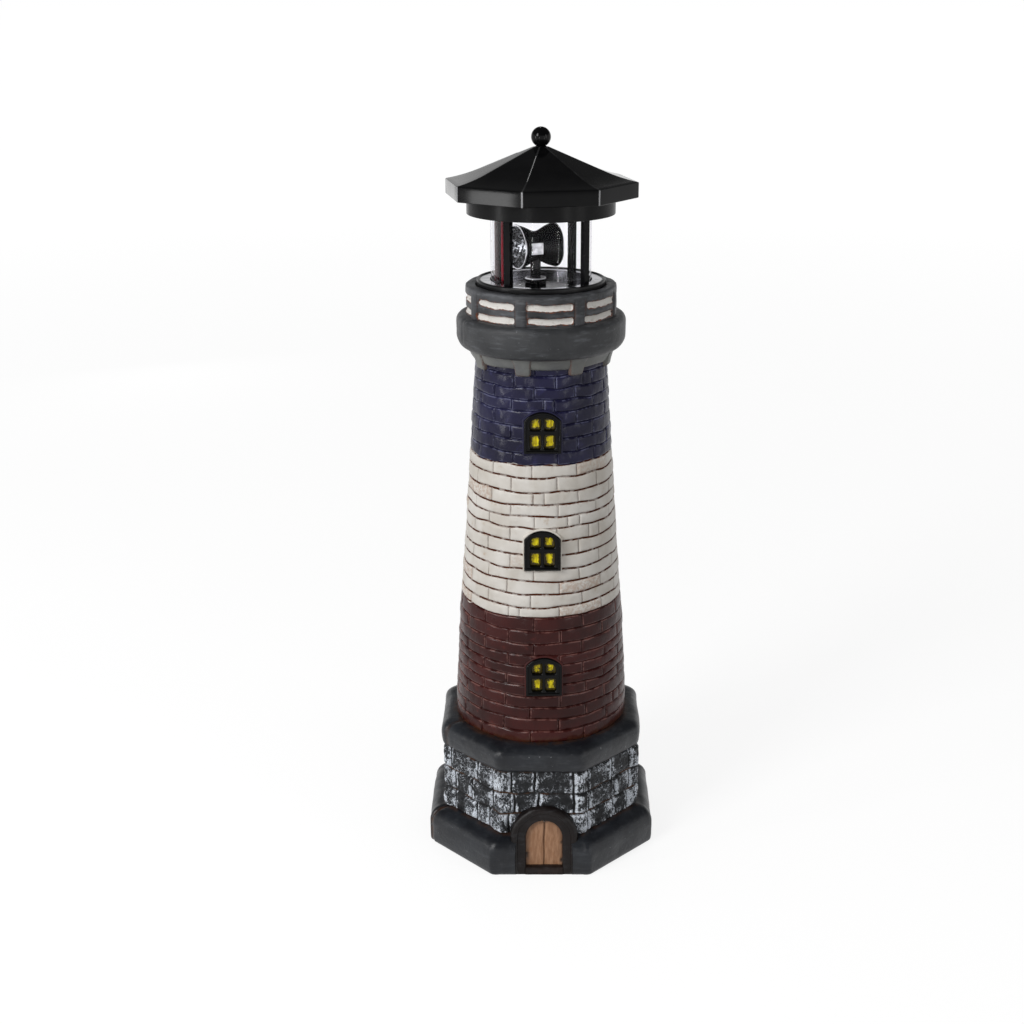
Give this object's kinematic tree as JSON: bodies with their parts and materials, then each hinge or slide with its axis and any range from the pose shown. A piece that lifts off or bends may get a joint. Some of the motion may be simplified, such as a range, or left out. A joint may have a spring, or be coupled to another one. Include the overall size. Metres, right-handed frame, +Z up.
{
  "type": "garden lighthouse ornament",
  "caption": "Free-standing garden lighthouse: hollow cast tower with lit windows and a lift-out solar lantern head whose twin-reflector beacon turns on a geared spindle.",
  "frame": {"origin": "middle of the flat underside of the plinth, on the ground", "axes": "+Z up along the tower, -Y toward the viewer on the side of the door and windows, +X to the viewer's right"},
  "size_m": [0.12, 0.12, 0.375],
  "materials": {
    "painted_resin": "hand-painted cast resin, satin",
    "yellow_pane": "translucent",
    "black_gloss": "gloss",
    "black_satin": "satin",
    "cover_plastic": "matt",
    "solar_glass": "glazed cell",
    "clear_plastic": "clear moulded",
    "silver_plating": "vacuum plated",
    "dark_plating": "dark metallised gloss",
    "white_plastic": "milky",
    "nickel_steel": "plated",
    "motor_can": "drawn steel can",
    "nylon": "moulded nylon",
    "board": "solder mask",
    "cell_wrap": "shrink sleeve",
    "lamp_epoxy": "clear epoxy",
    "red_insulation": "insulated",
    "black_insulation": "insulated",
    "stem_metal": "tube"
  },
  "bodies": {
    "tower": {"tower_shell": "painted_resin", "window_pane_upper": "yellow_pane", "window_pane_middle": "yellow_pane", "window_pane_lower": "yellow_pane", "base_cover": "cover_plastic"},
    "lantern": {"roof": "black_gloss", "finial": "black_gloss", "solar_cell_left": "solar_glass", "solar_cell_rear": "solar_glass", "solar_cell_right": "solar_glass", "roof_collar": "black_satin", "cage_posts": "black_satin", "clear_sleeve": "clear_plastic", "reflector_tray": "silver_plating", "housing_ring": "black_satin", "drive_plate": "black_satin", "motor_plate": "black_satin", "housing_cup": "black_satin", "bearing_bush": "nickel_steel", "motor": "motor_can", "circuit_board": "board", "lamp_stem": "stem_metal", "beacon_lamp": "lamp_epoxy", "window_lamp": "lamp_epoxy", "battery": "cell_wrap", "contact_spring": "nickel_steel", "contact_plate": "nickel_steel", "switch_body": "nickel_steel", "wire_red": "red_insulation", "wire_black": "black_insulation", "post_screws": "nickel_steel", "drive_screws": "nickel_steel", "motor_screws": "nickel_steel", "board_screws": "nickel_steel", "cup_screws": "nickel_steel", "roof_screws": "nickel_steel"},
    "beacon": {"beacon_shell": "dark_plating", "reflector_left": "silver_plating", "reflector_right": "silver_plating", "lens_left": "clear_plastic", "lens_right": "clear_plastic", "lamp_window": "white_plastic", "beacon_spindle": "stem_metal", "beacon_gear": "nylon"},
    "motor_drive": {"motor_pinion": "nylon", "motor_shaft": "stem_metal"},
    "switch": {"switch_knob": "black_satin"},
    "battery_hatch": {"battery_door": "black_satin", "door_screw": "nickel_steel"}
  },
  "joints": [
    {"name": "lantern_lift", "type": "slide", "parent": "tower", "child": "lantern", "axis": [0, 0, 1], "range_m": [0, 0.058]},
    {"name": "beacon_spin", "type": "hinge", "parent": "lantern", "child": "beacon", "pos_m": [-0.0027, 0, 0.3184], "axis": [0, 0, 1], "continuous": true},
    {"name": "motor_spin", "type": "hinge", "parent": "lantern", "child": "motor_drive", "pos_m": [0.0129, 0, 0.289], "axis": [0, 0, 1], "continuous": true},
    {"name": "switch_slide", "type": "slide", "parent": "lantern", "child": "switch", "axis": [1, 0, 0], "range_m": [0, 0.0025]},
    {"name": "battery_door_off", "type": "slide", "parent": "lantern", "child": "battery_hatch", "axis": [0, 0, -1], "range_m": [0, 0.012]}
  ],
  "couplings": [
    {"joint": "motor_spin", "follows": "beacon_spin", "ratio": -3.3333}
  ]
}
